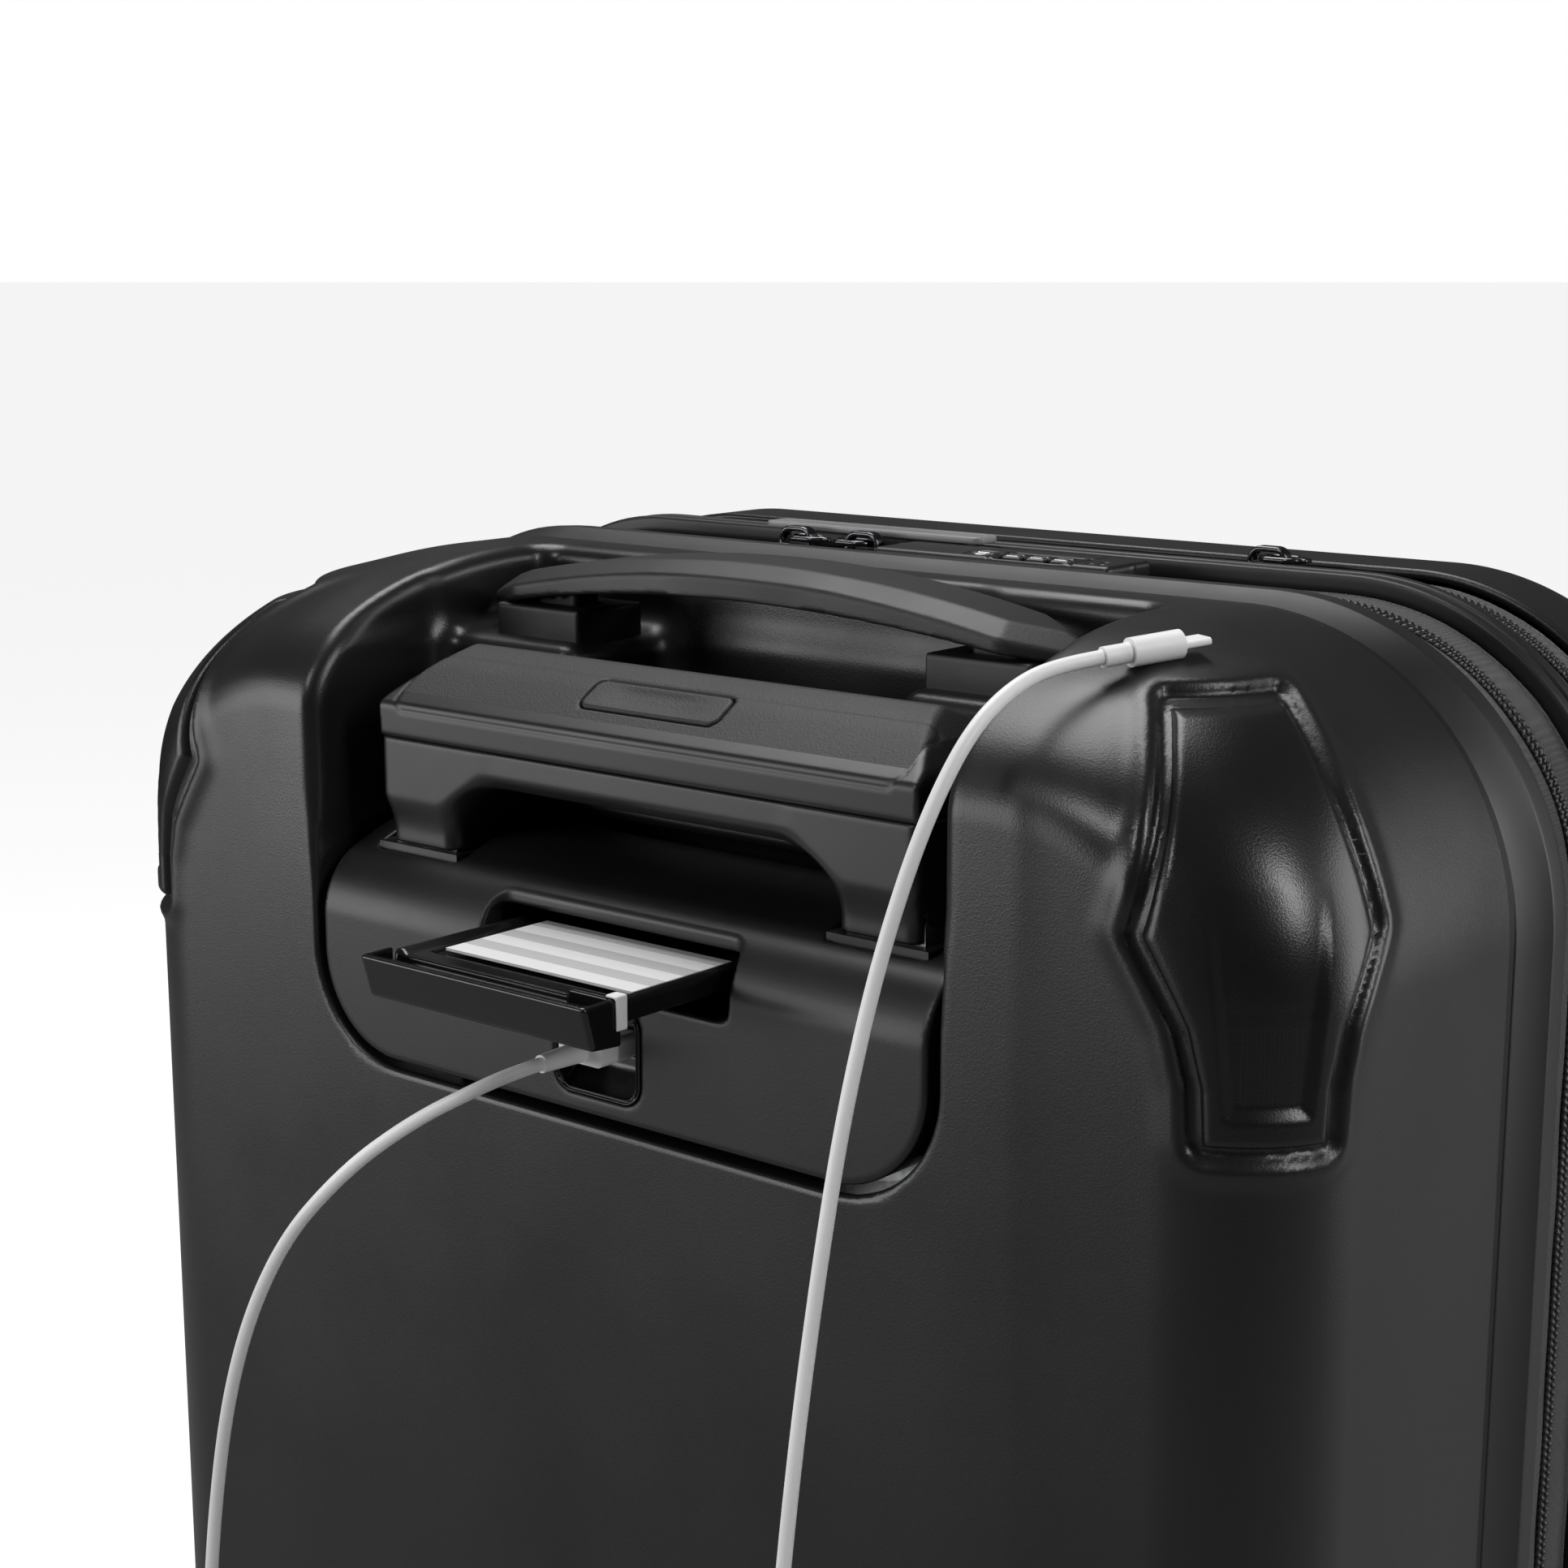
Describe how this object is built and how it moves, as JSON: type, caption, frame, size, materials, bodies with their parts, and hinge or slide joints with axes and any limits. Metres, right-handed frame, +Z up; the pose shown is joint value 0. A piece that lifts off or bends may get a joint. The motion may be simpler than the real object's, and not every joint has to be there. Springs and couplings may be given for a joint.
{
  "type": "wheeled cabin suitcase",
  "caption": "Upright hard-shell cabin case on swivelling twin wheels, with telescopic trolley, hinged lid, recessed charging port, pull-out tag tray and plugged-in lead.",
  "frame": {"origin": "centre of the case's footprint on the floor, without the charging lead", "axes": "+Z up, +X along the width, -Y toward the trolley and port side"},
  "size_m": [0.402, 0.3147, 0.55],
  "materials": {
    "shell": "satin, fine leather grain",
    "trim": "satin extruded rubber",
    "webbing": "woven tape",
    "lining": "woven lining",
    "guard": "satin moulded",
    "panel": "fine spark-eroded texture",
    "gloss_black": "gloss",
    "plated": "plated",
    "cable_black": "matt",
    "card": "paper card",
    "aluminium": "anodised, drawn",
    "collar_grey": "satin",
    "grip_smooth": "smooth satin",
    "grip_soft": "pebbled soft touch",
    "handle_soft": "pebbled soft touch",
    "lever_grey": "satin paint",
    "gunmetal": "polished gunmetal",
    "lead_white": "white",
    "wheel_rubber": "matt"
  },
  "bodies": {
    "case": {"back_shell": "shell", "back_trim": "trim", "back_zip_tape": "webbing", "corner_guard_left": "guard", "corner_guard_right": "guard", "tube_lining": "lining", "wheel_mount_back_left": "panel", "wheel_mount_back_right": "panel", "mount_screws_back": "plated", "trolley_housing": "panel", "port_bezel": "gloss_black", "port_socket": "plated", "bank_lead": "cable_black", "outer_tubes": "aluminium", "tube_bridge": "panel", "handle_anchors": "panel", "lock_body": "panel", "dial_spindle": "plated", "hinge_tape": "webbing", "lead_usb_plug": "lead_white", "charging_lead": "lead_white", "lead_phone_plug": "lead_white"},
    "tray": {"tag_tray": "gloss_black", "tag_card": "card"},
    "stage_one": {"middle_tubes": "aluminium", "tube_collars": "collar_grey"},
    "stage_two": {"inner_tubes": "aluminium", "grip_base": "grip_smooth", "grip_top": "grip_soft"},
    "button": {"release_button": "grip_soft"},
    "rods": {"release_rods": "plated"},
    "handle": {"carry_handle": "handle_soft"},
    "key": {"key_cylinder": "plated"},
    "lever": {"lock_lever": "lever_grey"},
    "dial_1": {"lock_dial_1": "gloss_black"},
    "dial_2": {"lock_dial_2": "gloss_black"},
    "dial_3": {"lock_dial_3": "gloss_black"},
    "slider_left": {"zip_slider_left": "gunmetal"},
    "pull_left": {"zip_pull_left": "gunmetal"},
    "slider_right": {"zip_slider_right": "gunmetal"},
    "pull_right": {"zip_pull_right": "gunmetal"},
    "lid": {"lid_zip_tape": "webbing", "lid_trim": "trim", "expander_zip_rear": "webbing", "expander_gusset": "webbing"},
    "front": {"expander_zip_front": "webbing", "front_shell": "shell", "wheel_mount_front_left": "panel", "wheel_mount_front_right": "panel", "mount_screws_front": "plated"},
    "slider_expander": {"zip_slider_expander": "gunmetal"},
    "pull_expander": {"zip_pull_expander": "gunmetal"},
    "swivel_back_left": {"fork_back_left": "panel"},
    "wheels_back_left": {"twin_wheel_back_left": "wheel_rubber"},
    "swivel_back_right": {"fork_back_right": "panel"},
    "wheels_back_right": {"twin_wheel_back_right": "wheel_rubber"},
    "swivel_front_left": {"fork_front_left": "panel"},
    "wheels_front_left": {"twin_wheel_front_left": "wheel_rubber"},
    "swivel_front_right": {"fork_front_right": "panel"},
    "wheels_front_right": {"twin_wheel_front_right": "wheel_rubber"}
  },
  "joints": [
    {"name": "tray_slide", "type": "slide", "parent": "case", "child": "tray", "axis": [0, 1, 0], "range_m": [0, 0.043]},
    {"name": "trolley_stage_one", "type": "slide", "parent": "case", "child": "stage_one", "axis": [0, 0, 1], "range_m": [0, 0.22]},
    {"name": "trolley_stage_two", "type": "slide", "parent": "stage_one", "child": "stage_two", "axis": [0, 0, 1], "range_m": [0, 0.22]},
    {"name": "release_button_press", "type": "slide", "parent": "stage_two", "child": "button", "axis": [0, 0.5082, -0.8613], "range_m": [0, 0.0025], "stiffness_N_per_m": 800, "springref_m": -0.001},
    {"name": "release_rod_drop", "type": "slide", "parent": "stage_two", "child": "rods", "axis": [0, 0, -1], "range_m": [0, 0.0025], "stiffness_N_per_m": 800, "springref_m": -0.001},
    {"name": "carry_handle_lift", "type": "slide", "parent": "case", "child": "handle", "axis": [0, 0, 1], "range_m": [0, 0.012], "stiffness_N_per_m": 400, "springref_m": -0.002},
    {"name": "key_turn", "type": "hinge", "parent": "case", "child": "key", "pos_m": [0.021, 0.03625, 0.54], "axis": [0, 0, 1], "range_deg": [0, 90]},
    {"name": "lever_slide", "type": "slide", "parent": "case", "child": "lever", "axis": [1, 0, 0], "range_m": [0, 0.004], "stiffness_N_per_m": 300, "springref_m": -0.001},
    {"name": "zip_left_slide", "type": "slide", "parent": "case", "child": "slider_left", "axis": [-1, 0, 0], "range_m": [0, 0.055]},
    {"name": "zip_right_slide", "type": "slide", "parent": "case", "child": "slider_right", "axis": [1, 0, 0], "range_m": [0, 0.007]},
    {"name": "lid_hinge", "type": "hinge", "parent": "case", "child": "lid", "pos_m": [-0.2018, 0.04375, 0.3], "axis": [0, 0, 1], "range_deg": [0, 178]},
    {"name": "expander_slide", "type": "slide", "parent": "lid", "child": "front", "axis": [0, 1, 0], "range_m": [0, 0.03]},
    {"name": "expander_zip_slide", "type": "slide", "parent": "lid", "child": "slider_expander", "axis": [-1, 0, 0], "range_m": [0, 0.17]},
    {"name": "zip_left_pull", "type": "hinge", "parent": "slider_left", "child": "pull_left", "pos_m": [-0.05405, 0.04375, 0.5464], "axis": [0, -1, 0], "range_deg": [0, 150]},
    {"name": "zip_right_pull", "type": "hinge", "parent": "slider_right", "child": "pull_right", "pos_m": [-0.02495, 0.04375, 0.5464], "axis": [0, 1, 0], "range_deg": [0, 150]},
    {"name": "zip_expander_pull", "type": "hinge", "parent": "slider_expander", "child": "pull_expander", "pos_m": [0.08195, 0.085, 0.5464], "axis": [0, -1, 0], "range_deg": [0, 150]},
    {"name": "dial_1_turn", "type": "hinge", "parent": "case", "child": "dial_1", "pos_m": [0.032, 0.03625, 0.5423], "axis": [1, 0, 0], "continuous": true},
    {"name": "dial_2_turn", "type": "hinge", "parent": "case", "child": "dial_2", "pos_m": [0.04, 0.03625, 0.5423], "axis": [1, 0, 0], "continuous": true},
    {"name": "dial_3_turn", "type": "hinge", "parent": "case", "child": "dial_3", "pos_m": [0.048, 0.03625, 0.5423], "axis": [1, 0, 0], "continuous": true},
    {"name": "back_left_swivel", "type": "hinge", "parent": "case", "child": "swivel_back_left", "pos_m": [-0.15, -0.063, 0.054], "axis": [0, 0, 1], "continuous": true},
    {"name": "back_left_roll", "type": "hinge", "parent": "swivel_back_left", "child": "wheels_back_left", "pos_m": [-0.15, -0.075, 0.025], "axis": [1, 0, 0], "continuous": true},
    {"name": "back_right_swivel", "type": "hinge", "parent": "case", "child": "swivel_back_right", "pos_m": [0.15, -0.063, 0.054], "axis": [0, 0, 1], "continuous": true},
    {"name": "back_right_roll", "type": "hinge", "parent": "swivel_back_right", "child": "wheels_back_right", "pos_m": [0.15, -0.075, 0.025], "axis": [1, 0, 0], "continuous": true},
    {"name": "front_left_swivel", "type": "hinge", "parent": "front", "child": "swivel_front_left", "pos_m": [-0.15, 0.1195, 0.054], "axis": [0, 0, 1], "continuous": true},
    {"name": "front_left_roll", "type": "hinge", "parent": "swivel_front_left", "child": "wheels_front_left", "pos_m": [-0.15, 0.1075, 0.025], "axis": [1, 0, 0], "continuous": true},
    {"name": "front_right_swivel", "type": "hinge", "parent": "front", "child": "swivel_front_right", "pos_m": [0.15, 0.1195, 0.054], "axis": [0, 0, 1], "continuous": true},
    {"name": "front_right_roll", "type": "hinge", "parent": "swivel_front_right", "child": "wheels_front_right", "pos_m": [0.15, 0.1075, 0.025], "axis": [1, 0, 0], "continuous": true}
  ],
  "couplings": [
    {"joint": "release_rod_drop", "follows": "release_button_press", "ratio": 1}
  ]
}
